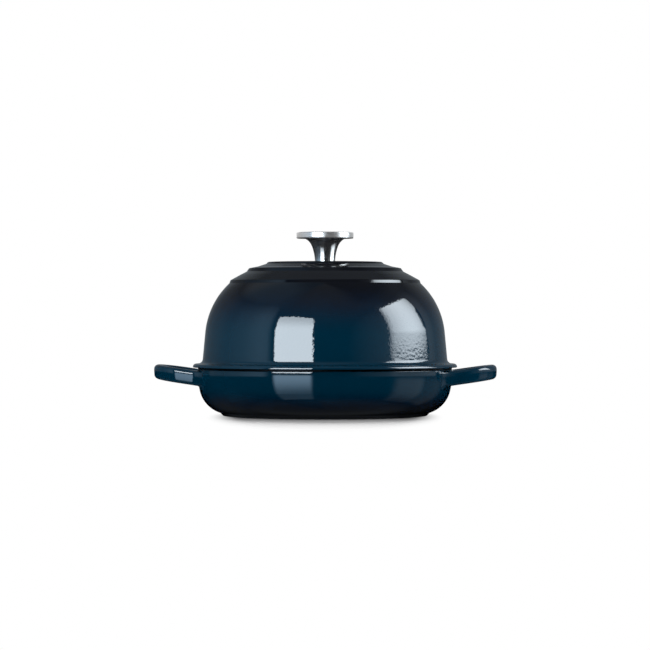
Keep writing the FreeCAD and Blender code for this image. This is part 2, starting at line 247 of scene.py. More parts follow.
class Finish:
    """A material under construction. Every node is added by node(), which sets settings before sockets."""

    def __init__(self, name):
        self.material = bpy.data.materials.new(name)
        self.material.use_nodes = True
        self.tree = self.material.node_tree
        self.tree.nodes.clear()

    def node(self, kind, settings=None, sockets=None, output=0):
        made = self.tree.nodes.new(kind)
        for key, value in (settings or {}).items():
            setattr(made, key, value)
        for key, value in (sockets or {}).items():
            if isinstance(value, Wire):
                self.tree.links.new(value.socket, made.inputs[key])
            else:
                made.inputs[key].default_value = value
        return Wire(self, made.outputs[output]) if made.outputs else None

    def math(self, operation, first, second):
        return self.node("ShaderNodeMath", {"operation": operation}, {0: first, 1: second})

    def place(self):
        return self.node("ShaderNodeTexCoord", output="Object")

    def mark(self, name):
        return self.node("ShaderNodeAttribute", {"attribute_name": name}, output="Fac")

    def noise(self, vector, per_metre, detail=2.0):
        return self.node("ShaderNodeTexNoise", None, {"Vector": vector, "Scale": per_metre, "Detail": detail})

    def grade(self, value, start, end):
        """0 before start, 1 after end, a smooth step between them."""
        return self.node(
            "ShaderNodeMapRange",
            {"interpolation_type": "SMOOTHSTEP"},
            {"Value": value, "From Min": start, "From Max": end},
        )

    def blend(self, share, first, second):
        """The first colour where share is 0, the second where it is 1."""
        return self.node("ShaderNodeMix", {"data_type": "RGBA"}, {0: share, 6: first, 7: second}, 2)

    def surface(self, height, depth, sockets):
        """Principled surface whose normal is tilted by a height of 0 to 1, worth depth metres."""
        normal = self.node("ShaderNodeBump", None, {"Height": height, "Strength": 1.0, "Distance": depth})
        shader = self.node("ShaderNodeBsdfPrincipled", None, {"Normal": normal, **sockets})
        self.node("ShaderNodeOutputMaterial", None, {"Surface": shader})
        return self.material


# %% [markdown]
# ## Enamel
#
# Enamel is glass melted onto iron. The outside is given a spray of two colours that overlap in a wide, soft
# band: deep teal around the rims, going through navy to black at the crown of the dome and at the foot of the
# dish. On the dish that black at the foot is partly painted shade: it is darker than the enamel alone, to
# stand in for the shade under the belly that the bright floor would light. A colour ramp on the height alone
# would look printed, so two noises move the height a little: a slow one for the hand of the sprayer, and a
# fine one for the droplets. The glass is very smooth, but never flat: shallow waves about three millimetres
# long, called orange peel, make the edges of reflections tremble. They are lowest on the dish, higher in the
# middle of the dome, and highest low on its right, where the spray is thickest. The inside is a satin black
# enamel with a fine grit, like the underside of the foot, and the rims are bare and dull, because little
# glass stays where the pieces touch.

# %% Mix the enamel
TEAL = (0.0, 0.0205, 0.043, 1.0)
TEAL_THIN = (0.0, 0.0225, 0.046, 1.0)
NAVY = (0.0003, 0.0070, 0.0215, 1.0)
BLACK = (0.0010, 0.0014, 0.0042, 1.0)
SATIN_BLACK = (0.0095, 0.0095, 0.0105, 1.0)
SATIN_GREY = (0.0150, 0.0150, 0.0160, 1.0)
RIM_BLACK = (0.0045, 0.0045, 0.0050, 1.0)
SPRAY_PER_METRE = 40.0
SPRAY_DRIFT = 0.010
DROPLETS_PER_METRE = 1600.0
DROPLET_DRIFT = 0.006
GRIT_PER_METRE = 2600.0
GRIT_BUMP = 0.5
GLOSS = 0.035
GLOSS_CHANGE = 0.015
SATIN = 0.30
SATIN_CHANGE = 0.16
PEEL_PER_METRE = 330.0
PEEL_DEPTH = 0.00005
PEEL_MIDDLE = 0.45
PEEL_ROUGH = 1.5
WAVES_PER_METRE = 60.0
LONG_WAVES = 2.5
RIGHT_SIDE = (0.02, 0.07)
LOW_WALL = (0.087, 0.056)
MIDDLE_START = (-0.04, -0.01)
MIDDLE_END = (0.085, 0.065)
ABOVE_FLANGE = (0.052, 0.056)


def enamel(name, calm, teal_height, navy_height, black_height):
    """Gloss enamel that darkens from teal to black between heights in metres, satin inside, dull on rims.

    The height used is the real one plus a slow and a fine noise; two smooth steps of it blend the colours.
    The waves are as high as calm says, and above the flange higher in the middle and low on the right.
    """
    finish = Finish(name)
    place = finish.place()
    inside = finish.mark("inside")
    bare = finish.mark("bare")
    sideways = finish.node("ShaderNodeSeparateXYZ", None, {0: place}, "X")
    height = finish.node("ShaderNodeSeparateXYZ", None, {0: place}, "Z")
    slow = finish.noise(place, SPRAY_PER_METRE, detail=3.0)
    droplets = finish.noise(place, DROPLETS_PER_METRE, detail=2.0)
    level = height + (slow - 0.5) * SPRAY_DRIFT + (droplets - 0.5) * DROPLET_DRIFT
    halfway = (teal_height + navy_height) / 2
    # Colour by height: teal, navy, black. On the dish the black at the foot is partly painted shade under the
    # belly.
    spray_and_shade = finish.blend(slow, TEAL, TEAL_THIN)
    spray_and_shade = finish.blend(finish.grade(level, teal_height, navy_height), spray_and_shade, NAVY)
    spray_and_shade = finish.blend(finish.grade(level, halfway, black_height), spray_and_shade, BLACK)
    grit = finish.noise(place, GRIT_PER_METRE, detail=3.0)
    satin = finish.blend(grit, SATIN_BLACK, SATIN_GREY)
    colour = finish.blend(bare, finish.blend(inside, spray_and_shade, satin), RIM_BLACK)
    dull = finish.math("MAXIMUM", inside, bare)
    roughness = GLOSS + slow * GLOSS_CHANGE + dull * (SATIN + grit * SATIN_CHANGE)
    thick = finish.grade(sideways, *RIGHT_SIDE) * finish.grade(height, *LOW_WALL)
    middle = finish.grade(sideways, *MIDDLE_START) * finish.grade(sideways, *MIDDLE_END)
    more = (thick * PEEL_ROUGH + middle * PEEL_MIDDLE) * finish.grade(height, *ABOVE_FLANGE)
    peel = finish.noise(place, PEEL_PER_METRE, detail=1.0) * (calm + more)
    long_waves = finish.noise(place, WAVES_PER_METRE, detail=1.0) * (calm * LONG_WAVES)
    waves = (peel + long_waves) * (1 - dull) + grit * dull * GRIT_BUMP
    return finish.surface(waves, PEEL_DEPTH, {"Base Color": colour, "Roughness": roughness, "Metallic": bare})


dome_enamel = enamel("dome_enamel", calm=0.4, teal_height=0.080, navy_height=0.116, black_height=0.132)
# The dish darkens towards its foot: partly its own dark enamel, partly painted shade for the underside of the
# belly.
dish_enamel = enamel("dish_enamel", calm=0.12, teal_height=0.030, navy_height=0.010, black_height=0.002)
print("enamels:", dome_enamel.name, dish_enamel.name)

# %% [markdown]
# ## The dome
#
# The dome is one casting, round about its axis: a flat crown with three terraced rings, a wide shoulder,
# a steep wall and a flange. Below the flange a seat rests on the dish and a lip drops inside it. Its
# section is one closed line, over the outside and back through the hollow to the hole of the knob screw,
# so the skin has a real thickness. The lowest point of that line is the lip: all that comes after it is
# inside.

# %% Turn the dome
SIDES = 256
RIM_HEIGHT = 46.5
FLANGE_BOTTOM = 48.3
FLANGE_TOP = 52.3
FLANGE_RADIUS = 132.0
SEAT_RADIUS = 126.9
LIP_BOTTOM = 43.1
CROWN_TOP = 153.6
CROWN_BELOW = 149.2
SCREW_HOLE = 3.3
SOFT_EDGE = 0.3
DOME_LINE = [
    (SCREW_HOLE, 151.4, 0),
    (SCREW_HOLE, CROWN_TOP, SOFT_EDGE),
    (56.92, CROWN_TOP, 2.2),
    (58.72, 151.7, 1.0),
    (67.02, 149.0, 8.0),
    (75.92, 147.3, 1.6),
    (78.32, 143.9, 1.0),
    (84.02, 141.0, 20.0),
    (94.6, 135.2, 1.5),
    (95.62, 132.2, 0.3),
    (116.96, 112.09, 77.0),
    (122.59, FLANGE_TOP, 5.0),
    (FLANGE_RADIUS - 0.1, 51.8, 3.0),
    (FLANGE_RADIUS, FLANGE_BOTTOM, 0.6),
    (SEAT_RADIUS, FLANGE_BOTTOM, SOFT_EDGE),
    (SEAT_RADIUS, RIM_HEIGHT, SOFT_EDGE),
    (122.0, RIM_HEIGHT, SOFT_EDGE),
    (121.7, LIP_BOTTOM, 0.7),
    (120.09, LIP_BOTTOM, 0.7),
    (112.86, 118.12, 78.0),
    (59.92, CROWN_BELOW, 20.0),
    (SCREW_HOLE, CROWN_BELOW, SOFT_EDGE),
    (SCREW_HOLE, 150.6, 0),
]

dome_line = rounded_line(DOME_LINE)
dome_order = np.arange(len(dome_line))[:, None]
dome_marks = {
    "inside": dome_order > dome_line[:, 1].argmin(),
    "bare": dome_line[:, 1:] < FLANGE_BOTTOM + SOFT_EDGE / 2,
}
dome_skin = make_piece("dome_skin", [(turned_grid(dome_line, SIDES), True, True, dome_marks)], dome_enamel)
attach(dome_skin, "lid")
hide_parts("lid_dome")

# %% [markdown]
# ## The bowl of the dish
#
# The dish is cast in one with its handles. The bowl is turned like the dome, from the middle of the foot
# over the belly, the barrel wall and the rim back to the middle of the floor. Low rounded rings on the
# floor keep the loaf off the hot iron. Modelling them as separate rings would leave a seam, so the floor's
# height has them in its formula.

# %% Draw the bowl
DISH_RADIUS = 127.1
FLOOR_HEIGHT = 4.7
FLOOR_EDGE = 92.0
FLOOR_STEP = 0.5
RIB_RADII = (28.0, 48.0, 68.0, 88.0)
RIB_REACH = 2.8
RIB_HEIGHT = 0.8
TOUCHING = 0.05
BOWL_LINE = [
    (0, 0, 0),
    (101.8, 0, 0.8),
    (104.6, 2.9, 0.5),
    (121.235, 8.307, 29.9),
    (127.515, 35.242, 74.0),
    (DISH_RADIUS - 0.15, RIM_HEIGHT, 0.7),
    (123.2, RIM_HEIGHT, 0.8),
    (118.81, FLOOR_HEIGHT, 27.1),
    (FLOOR_EDGE, FLOOR_HEIGHT, 0),
]


def ribbed_floor(radius):
    """Height of the floor: half a cosine wave, from its foot over its top to its foot, on each rib."""
    across = np.abs(np.subtract.outer(radius, RIB_RADII)) / RIB_REACH
    waves = (1 + np.cos(math.pi * np.minimum(across, 1))) / 2
    return FLOOR_HEIGHT + RIB_HEIGHT * waves.sum(axis=1)


floor_radius = np.linspace(FLOOR_EDGE, 0, round(FLOOR_EDGE / FLOOR_STEP))[1:]
floor_line = np.column_stack([floor_radius, ribbed_floor(floor_radius)])
bowl_line = np.concatenate([rounded_line(BOWL_LINE), floor_line])
bowl_order = np.arange(len(bowl_line))[:, None]
bowl_rim = np.flatnonzero(bowl_line[:, 1] > RIM_HEIGHT - TOUCHING)
bowl_marks = {
    "inside": (bowl_order > bowl_rim.max()) | (bowl_line[:, 1:] < TOUCHING),
    "bare": (bowl_order >= bowl_rim.min()) & (bowl_order <= bowl_rim.max()),
}
bowl = (turned_grid(bowl_line, SIDES), False, True, bowl_marks)
print("points along the bowl's section:", len(bowl_line))

# %% [markdown]
# ## Lines of a loop handle
#
# Seen from above, a handle is a horseshoe: an outer line that flares out of the wall and an inner line
# around the finger hole. A Curve with a bevel would give a bar of one width, but this bar is widest at
# its roots, so its section is laid out between the two lines. Both lines are made of arcs that touch each
# other, as on a drawing.

# %% Tools for lines
CLOSE_POINTS = 200


def smooth_step(value, start, end):
    """0 before start, 1 after end, and 3 t^2 - 2 t^3 between them."""
    t = np.clip((value - start) / (end - start), 0, 1)
    return t * t * (3 - 2 * t)


def arc(centre, radius, start, end):
    """Close-set points of an arc between two angles in degrees."""
    angle = np.radians(np.linspace(start, end, CLOSE_POINTS))
    return centre + radius * np.column_stack([np.cos(angle), np.sin(angle)])


def even(path, count):
    """The path's points again, at even steps of its length."""
    length = np.concatenate([[0], np.hypot(*np.diff(path, axis=0).T).cumsum()])
    steps = np.linspace(0, length[-1], count)
    return np.column_stack([np.interp(steps, length, part) for part in path.T])


def mirrored(path):
    """The path to the tip, and back on the other side of the X axis."""
    return np.concatenate([path, path[-2::-1] * (1, -1)])


def across(path, turn):
    """Unit vectors at right angles to the path, to its right for turn 1 and to its left for turn -1."""
    along = np.gradient(path, axis=0)
    along /= np.hypot(*along.T)[:, None]
    return turn * np.column_stack([along[:, 1], -along[:, 0]])


def bearing_of(way):
    """Angle of a vector from the X axis, in degrees."""
    return math.degrees(math.atan2(way[1], way[0]))


print("even steps on a quarter circle:", even(arc(np.zeros(2), 10, 0, 90), 3).round(2).tolist())

# %% Lines of a handle
WALL_CIRCLE = 124.6
TIP_CENTRE = np.array([128.52, 0.0])
TIP_RADIUS = 43.0
HUB = np.array([137.5, 8.7])
CORNER_RADIUS = 30.5
ROOT_RADIUS = 28.7
BAR_WIDTH = 10.8
HOLE_CORNER = 10.5
ROOT_ROWS = 30
CORNER_ROWS = 20
TIP_ROWS = 24

# The root arc touches the wall circle and the corner arc, so its centre is known by two distances
wall_way = WALL_CIRCLE + ROOT_RADIUS
corner_way = CORNER_RADIUS + ROOT_RADIUS
hub_way = math.hypot(*HUB)
between = math.acos((wall_way ** 2 + hub_way ** 2 - corner_way ** 2) / (2 * wall_way * hub_way))
root_turn = between + math.atan2(HUB[1], HUB[0])
root_centre = wall_way * np.array([math.cos(root_turn), math.sin(root_turn)])
hole_radius = CORNER_RADIUS - BAR_WIDTH
hole_y = HUB[1] + hole_radius - HOLE_CORNER
hole_centre = np.array([math.sqrt((WALL_CIRCLE + HOLE_CORNER) ** 2 - hole_y ** 2), hole_y])

join = bearing_of(root_centre - HUB)
tip_join = bearing_of(HUB - TIP_CENTRE)
outer_root = arc(root_centre, ROOT_RADIUS, 180 + bearing_of(root_centre), 180 + join)
inner_root = arc(hole_centre, HOLE_CORNER, 180 + bearing_of(hole_centre), 90)
inner_root = np.concatenate([inner_root, [HUB + (0, hole_radius)]])
outer_path = mirrored(np.concatenate([
    even(outer_root, ROOT_ROWS)[:-1],
    even(arc(HUB, CORNER_RADIUS, join, tip_join), CORNER_ROWS)[:-1],
    even(arc(TIP_CENTRE, TIP_RADIUS, tip_join, 0), TIP_ROWS),
]))
inner_path = mirrored(np.concatenate([
    even(inner_root, ROOT_ROWS)[:-1],
    even(arc(HUB, hole_radius, 90, tip_join), CORNER_ROWS)[:-1],
    even(arc(TIP_CENTRE, TIP_RADIUS - BAR_WIDTH, tip_join, 0), TIP_ROWS),
]))
print("rows along a handle:", len(outer_path))

# %% [markdown]
# ## Section of a loop handle
#
# The section is a bar with rounded edges. Each of its points says how far it lies from the outer or the
# inner line and at what level. The bar rises outwards by a few degrees, and close to the wall its top and
# bottom swell into a small fillet, as in every casting. A Bevel modifier could round that joint too, but it
# needs a clean edge between the handle and the bowl, and two skins that cross have none.

# %% Points of the section
BAR_HALF = 7.35
BAR_EDGE = 3.5

quarter = np.radians(np.linspace(0, 90, 10))
edge_depth = BAR_EDGE * (1 - np.cos(quarter))
edge_level = BAR_HALF - BAR_EDGE * (1 - np.sin(quarter))
flat_share = np.array([0.08, 0.3, 0.5, 0.7, 0.92])
side_level = (BAR_HALF - BAR_EDGE) * np.array([0.97, 0.8, 0.5, 0.2, -0.1, -0.4, -0.7, -0.95])
top_share = np.concatenate([0 * quarter, flat_share, 1 + 0 * quarter])
top_depth = np.concatenate([edge_depth, BAR_EDGE + 0 * flat_share, edge_depth[::-1]])
top_level = np.concatenate([edge_level, BAR_HALF + 0 * flat_share, edge_level[::-1]])
share = np.concatenate([top_share, 1 + 0 * side_level, top_share[::-1], 0 * side_level])
depth = np.concatenate([top_depth, 0 * side_level, top_depth[::-1], 0 * side_level])
level = np.concatenate([top_level, side_level, -top_level[::-1], side_level[::-1]])
print("points round the section of a handle:", len(level))

# %% Make the handles and the dish
ROOT_EDGE = 0.3
ROOT_REACH = (-8.0, 4.0)
TIP_EDGE = 0.45
TIP_REACH = (30.0, 43.0)
BULGE_RADIUS = 56.0
BULGE_LEVEL = 2.1
RISE = math.tan(math.radians(8.2))
PIVOT = np.array([DISH_RADIUS, 38.05])
BURIED = 124.0
TOP_FILLET = 1.0
BOTTOM_FILLET = 3.0


def loop_handle():
    """Handle on the +X side, as rows along the loop and columns round the section.

    The edges of the top are tight at the wall and fullest at the tip. A point is the blend, by its
    share, of the outer line moved in by its depth and the inner line moved out by its depth. The outer
    side bulges: at the level h above its fullest point it lies h^2 / 2 r further in. The rise lifts each
    point by its way out and tilts no side, as the sides must leave the mould straight up. The roots end
    inside the wall, at the buried radius. At last a fillet of radius r adds r - sqrt(r^2 - (r - d)^2) to
    the level at the distance d from the wall.
    """
    reach = outer_path[:, :1] - DISH_RADIUS
    past_root = smooth_step(reach, *ROOT_REACH)
    at_tip = smooth_step(reach, *TIP_REACH)
    full = ROOT_EDGE + (1 - ROOT_EDGE) * past_root + TIP_EDGE * at_tip
    side_top = BAR_HALF - BAR_EDGE
    on_side = np.maximum(level, 0) * (BAR_HALF - full * BAR_EDGE) / side_top + np.minimum(level, 0)
    heights = np.where(level < side_top, on_side, BAR_HALF - full * (BAR_HALF - level))
    depths = np.where(level < side_top, 1, full) * depth
    bulge = (level - BULGE_LEVEL) ** 2 / (2 * BULGE_RADIUS)
    outer = outer_path[:, None] + across(outer_path, 1)[:, None] * (depths + bulge)[..., None]
    inner = inner_path[:, None] + across(inner_path, -1)[:, None] * depths[..., None]
    plan = outer * (1 - share[:, None]) + inner * share[:, None]
    radii = np.hypot(plan[..., 0], plan[..., 1])
    plan = plan * np.maximum(BURIED / radii, 1)[..., None]
    z = PIVOT[1] + (plan[..., 0] - PIVOT[0]) * RISE + heights
    wall = np.interp(z, *bowl_line[:bowl_rim.min() + 1, ::-1].T)
    distance = np.maximum(radii - wall, 0)
    for radius, up in ((TOP_FILLET, 1), (BOTTOM_FILLET, -1)):
        swell = radius - np.sqrt(radius ** 2 - np.maximum(radius - distance, 0) ** 2)
        z = z + up * swell * np.maximum(up * heights / BAR_HALF, 0)
    bar = np.concatenate([plan, z[..., None]], axis=-1)
    caps = np.broadcast_to(bar[[0, -1]].mean(axis=1, keepdims=True), (2, *bar.shape[1:]))
    return np.concatenate([caps[:1], bar, caps[1:]])


right_handle = loop_handle()
left_handle = right_handle * (-1, -1, 1)
outside = {"inside": 0.0, "bare": 0.0}
handles = [(grid, False, True, outside) for grid in (right_handle, left_handle)]
dish_skin = make_piece("dish_skin", [bowl, *handles], dish_enamel)
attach(dish_skin, "dish")
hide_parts("base_dish")

# %% [markdown]
# ## Steel
#
# The knob is turned from stainless steel. Its disc is brushed while it spins, which leaves fine rings, and
# its stem is polished. Drawing each scratch in the mesh would take millions of faces, so the rings are
# a noise that changes fast with the radius and the height but slowly round the axis. It moves the
# roughness, the colour and the normal a little. Anisotropy stretches the shine across the rings.

# %% Mix the steel
STEEL = (0.58, 0.57, 0.555, 1.0)
STEEL_BRIGHT = (0.66, 0.65, 0.64, 1.0)
RINGS_PER_METRE = 5200.0
STROKES_PER_METRE = 30.0
RING_DEPTH = 0.000006
RING_ROUGHNESS = 0.12
SMUDGES_PER_METRE = 90.0
SMUDGE_ROUGHNESS = 0.03
ANISOTROPY = 0.6
QUARTER_TURN = 0.25
POLISHED_METAL = 0.95
BRUSHED_LOSS = 0.15


def steel(name, smooth, rough, marked):
    """Turned steel: rings are a noise of (radius, height) far finer than its drift along X and Y.

    Where a piece is marked as brushed, the rings show and the roughness is the rough one. Without marks the
    whole piece is brushed.
    """
    finish = Finish(name)
    place = finish.place()
    brushed = finish.mark("brushed") if marked else 1.0
    flat = finish.node("ShaderNodeVectorMath", {"operation": "MULTIPLY"}, {0: place, 1: (1.0, 1.0, 0.0)})
    radius = finish.node("ShaderNodeVectorMath", {"operation": "LENGTH"}, {0: flat}, "Value")
    height = finish.node("ShaderNodeSeparateXYZ", None, {0: place}, "Z")
    fine = finish.node("ShaderNodeCombineXYZ", None, {2: (radius + height) * RINGS_PER_METRE})
    drift = finish.node("ShaderNodeVectorMath", {"operation": "SCALE"}, {0: flat, "Scale": STROKES_PER_METRE})
    both = finish.node("ShaderNodeVectorMath", {"operation": "ADD"}, {0: fine, 1: drift})
    rings = finish.noise(both, 1.0, detail=2.0)
    smudge = finish.noise(place, SMUDGES_PER_METRE, detail=3.0)
    colour = finish.blend(rings * brushed, STEEL_BRIGHT, STEEL)
    roughness = smooth + smudge * SMUDGE_ROUGHNESS
    roughness = roughness + brushed * (rough - smooth + (rings - 0.5) * RING_ROUGHNESS)
    return finish.surface(rings * brushed, RING_DEPTH, {
        "Base Color": colour,
        "Roughness": roughness,
        "Metallic": POLISHED_METAL - brushed * BRUSHED_LOSS,
        "Anisotropic": ANISOTROPY,
        "Anisotropic Rotation": QUARTER_TURN,
    })


knob_steel = steel("knob_steel", smooth=0.13, rough=0.32, marked=True)
print("steel:", knob_steel.name)

# %% [markdown]
# ## The knob
#
# A disc with a shallow hollow on top, on a stem that flares up into it. The flare has no single radius:
# it was drawn through a few measured points, and so it is here, by a smooth line that passes through them
# all. The rest of the section has corners, as before, and ends in the blind hole of the screw.

# %% Turn the knob
KNOB_SIDES = 160
KNOB_TOP = 183.2
KNOB_RADIUS = 28.5
DISC_BOTTOM = 177.0
UNDERSIDE = 176.6
HOLLOW_FLOOR = 182.4
STEM_RADIUS = 10.1
BORE_RADIUS = 3.05
BORE_END = 168.6
FLARE = ((19.6, UNDERSIDE), (16.0, 174.0), (13.4, 170.0), (11.7, 164.9), (STEM_RADIUS, CROWN_TOP))
FLARE_POINTS = 40


def smooth_line(points, count):
    """Cubic pieces between points; the slope at a point is that of the parabola through its neighbours."""
    points = np.array(points)
    length = np.concatenate([[0], np.hypot(*np.diff(points, axis=0).T).cumsum()])
    slope = np.gradient(points, length, axis=0, edge_order=2)
    at = np.linspace(0, length[-1], count)
    left = np.clip(np.searchsorted(length, at, side="right") - 1, 0, len(length) - 2)
    span = (length[left + 1] - length[left])[:, None]
    t = (at - length[left])[:, None] / span
    start, end = points[left], points[left + 1]
    return (
        start * (1 + 2 * t) * (1 - t) ** 2
        + end * t ** 2 * (3 - 2 * t)
        + span * (slope[left] * t * (1 - t) ** 2 - slope[left + 1] * t ** 2 * (1 - t))
    )


disc_line = rounded_line([
    (0, HOLLOW_FLOOR, 0),
    (22.0, HOLLOW_FLOOR, 2.5),
    (24.5, KNOB_TOP, 2.5),
    (KNOB_RADIUS, KNOB_TOP, 1.1),
    (KNOB_RADIUS, DISC_BOTTOM, 1.1),
    (20.0, 176.62, 0),
])
bore_line = rounded_line([
    (STEM_RADIUS - SOFT_EDGE, CROWN_TOP, 0),
    (BORE_RADIUS, CROWN_TOP, SOFT_EDGE),
    (BORE_RADIUS, BORE_END, SOFT_EDGE),
    (0, BORE_END, 0),
])
flare_line = smooth_line(FLARE, FLARE_POINTS)
flare_line[-1, 1] += SOFT_EDGE
knob_line = np.concatenate([disc_line, flare_line, bore_line])
on_disc = np.arange(len(knob_line))[:, None] < len(disc_line)
knob_skin = make_piece(
    "knob_skin",
    [(turned_grid(knob_line, KNOB_SIDES), False, True, {"brushed": on_disc})],
    knob_steel,
)
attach(knob_skin, "lid")
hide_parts("lid_knob")

# %% [markdown]
# ## The fasteners
#
# Screw and washers sit inside the dome and their construction meshes are already right, so they stay and
# only get a finish. Their meshes carry no marks, so theirs is a steel that is brushed all over.

# %% Finish the fasteners
fastener_steel = steel("fastener_steel", smooth=0.30, rough=0.30, marked=False)
for node in ("knob_screw", "flat_washer", "spring_washer"):
    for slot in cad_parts[node].material_slots:
        slot.material = fastener_steel
    print(node, "carries", fastener_steel.name)

# %% [markdown]
# ## Floor and white room
#
# Everything around the object is white: a room with the same light from all sides, in which a colour
# renders as it is written, and a white floor. The same light from all sides leaves a wide, faint shadow,
# but the shadow in the photograph is short and lies in front. So the floor is grey for the room, and most of
# its light comes from a wide lamp high behind the object. It is linked to the floor alone: it draws the
# shadow and adds no light to the object. Outside a long oval around the foot the camera sees plain white.

# %% Make the floor and the room
FLOOR_HALF = 20000.0
FLOOR_DROP = 0.2
FLOOR_GREY = 0.4
FLOOR_WHITE = 1.03
SHADOW_WIDTH = 0.116
SHADOW_LENGTH = 0.430
SHADOW_FADE = (0.72, 1.02)
LAMP_RISE = math.radians(40.0)
LAMP_ANGLE = math.radians(45.0)

room = bpy.data.worlds.new("white_room")
room.use_nodes = True
background = room.node_tree.nodes["Background"]
background.inputs["Color"].default_value = (1.0, 1.0, 1.0, 1.0)
background.inputs["Strength"].default_value = 1.0
scene.world = room

floor_finish = Finish("white_floor")
chalk = floor_finish.node("ShaderNodeBsdfDiffuse", None, {"Color": (FLOOR_GREY, FLOOR_GREY, FLOOR_GREY, 1.0)})
oval = floor_finish.node("ShaderNodeMapping", {"vector_type": "TEXTURE"}, {
    "Vector": floor_finish.place(),
    "Rotation": (0.0, 0.0, CAMERA_TURN),
    "Scale": (SHADOW_WIDTH, SHADOW_LENGTH, 1.0),
})
outwards = floor_finish.node("ShaderNodeVectorMath", {"operation": "LENGTH"}, {0: oval}, "Value")
seen = floor_finish.node("ShaderNodeLightPath", output="Is Camera Ray")
plain_white = floor_finish.node("ShaderNodeEmission", None, {"Strength": 1.0})
beyond = floor_finish.grade(outwards, *SHADOW_FADE) * seen
floor_shader = floor_finish.node("ShaderNodeMixShader", None, {0: beyond, 1: chalk, 2: plain_white})
floor_finish.node("ShaderNodeOutputMaterial", None, {"Surface": floor_shader})
edge = np.array([-FLOOR_HALF, FLOOR_HALF])
floor_grid = np.stack([*np.meshgrid(edge, edge), np.full((2, 2), -FLOOR_DROP)], axis=-1)
floor = make_piece("floor", [(floor_grid, False, False, {})], floor_finish.material)
floor.visible_glossy = False

floor_lamp = bpy.data.objects.new("floor_lamp", bpy.data.lights.new("floor_lamp", "SUN"))
floor_lamp.data.angle = LAMP_ANGLE
floor_lamp.data.energy = math.pi * (FLOOR_WHITE / FLOOR_GREY - 1) / math.sin(LAMP_RISE)
floor_lamp.rotation_euler = (LAMP_RISE - math.pi / 2, 0.0, CAMERA_TURN)
scene.collection.objects.link(floor_lamp)
lit_by_lamp = bpy.data.collections.new("lit_by_floor_lamp")
lit_by_lamp.objects.link(floor)
floor_lamp.light_linking.receiver_collection = lit_by_lamp
print("lamp for the floor:", round(floor_lamp.data.energy, 2))

# %% [markdown]
# ## The dark studio
#
# Gloss enamel is a mirror, so its look is made by what stands around it. A photographer keeps the room dark
# and hangs one large softbox on the left and one on the right. A dark, polished table would mirror both, and
# that shows on the dish. No table is made here: its look and its mirror images of the softboxes are painted
# reflections, glows painted below the horizon of the room. The same things stand here, but they show only in
# reflections: the camera and the soft light of the room pass through them. Each one is a grid with a mark
# that says how bright it is at each point. Directions are a bearing, which is 0 towards the camera and grows
# to its right, and an elevation.

# %% Tools for the studio
DEGREE = math.pi / 180
COOL_WHITE = (0.82, 0.92, 1.0, 1.0)
SKY_BLUE = (0.52, 0.76, 1.0, 1.0)
STUDIO_MIDDLE = 82.0


def window(value, low, high, blur):
    """1 between low and high, 0 outside, with a smooth step over twice the blur at each end."""
    return smooth_step(value, low - blur, low + blur) * smooth_step(value, high + blur, high - blur)


def reflected_only(name, grid, glow, blue):
    """Panel from a grid in mm that shines in reflections and nowhere else.

    The glow is 1 where the panel is white, and blue is the share of blue in its colour.
    """
    finish = Finish(name)
    colour = finish.blend(finish.mark("blue"), COOL_WHITE, SKY_BLUE)
    light = finish.node("ShaderNodeEmission", None, {"Color": colour, "Strength": finish.mark("glow")})
    finish.node("ShaderNodeOutputMaterial", None, {"Surface": light})
    panel = make_piece(name, [(grid, False, False, {"glow": glow, "blue": blue})], finish.material)
    for ray in ("camera", "diffuse", "transmission", "volume_scatter", "shadow"):
        setattr(panel, f"visible_{ray}", False)


# %% [markdown]
# ## The room of the studio
#
# The room is a large ball around the object. Its ceiling is dim, its walls are lit on both sides, and below
# the horizon a dim table is painted, with painted reflections of the two softboxes on it. A picture of a
# studio around the world could do the same, but it would also change the soft light of the white room. Each
# light is a smooth step or a window in bearing and elevation, and where two overlap the brighter one counts.

# %% Light of the ceiling and the walls
STUDIO_COLUMNS = 241
STUDIO_ROWS = 301
CEILING_GLOW = 0.24
BACK_LOSS = 0.3
RIGHT_LOSS = 0.5
LEFT_GAIN = 0.17
WALL_GLOW = np.array([
    (-180, 0.25), (-150, 0.14), (-131, 0.16), (-104, 0.28), (-83, 0.52), (-64, 0.95), (-56, 0.92), (-50, 0.0),
    (20, 0.0), (58, 0.30), (64, 0.60), (110, 0.52), (118, 0.40), (128, 0.19), (180, 0.22),
])

bearing, rise = np.meshgrid(np.linspace(-180, 180, STUDIO_COLUMNS), np.linspace(-90, 90, STUDIO_ROWS))
above_table = smooth_step(rise, -2, 0)

# The ceiling is dimmer at the back and on the right, and brighter on the left
behind = smooth_step(np.abs(bearing), 110, 150)
high_right = window(bearing, 40, 140, 20) * smooth_step(rise, 45, 60)
high_left = window(bearing, -140, -50, 20) * window(rise, 40, 75, 8)
ceiling = CEILING_GLOW * smooth_step(rise, 5, 65) * (1 - BACK_LOSS * behind) * (1 - RIGHT_LOSS * high_right)
ceiling = ceiling + LEFT_GAIN * high_left
walls = np.interp(bearing, *WALL_GLOW.T) * above_table * smooth_step(rise, 60, 25)
print("brightest ceiling and wall:", round(ceiling.max(), 2), round(walls.max(), 2))

# %% Light of the table
TABLE_GLOW = 0.07
TABLE_RIGHT = 0.4
TABLE_NEAR = 1.5
LEFT_FAINT = 0.6
LEFT_BRIGHT = 4.4
RIGHT_FAINT = 0.1
RIGHT_BRIGHT = 0.4
RIGHT_SPILL = 0.15

# The painted table is light on both sides and close to the object
table_sides = window(bearing, -160, -80, 25) + TABLE_RIGHT * window(bearing, 80, 160, 25)
table_sides = table_sides * window(rise, -55, -22, 14)
table_near = TABLE_NEAR * smooth_step(rise, -33, -60)
table = TABLE_GLOW * np.maximum(table_sides, table_near)
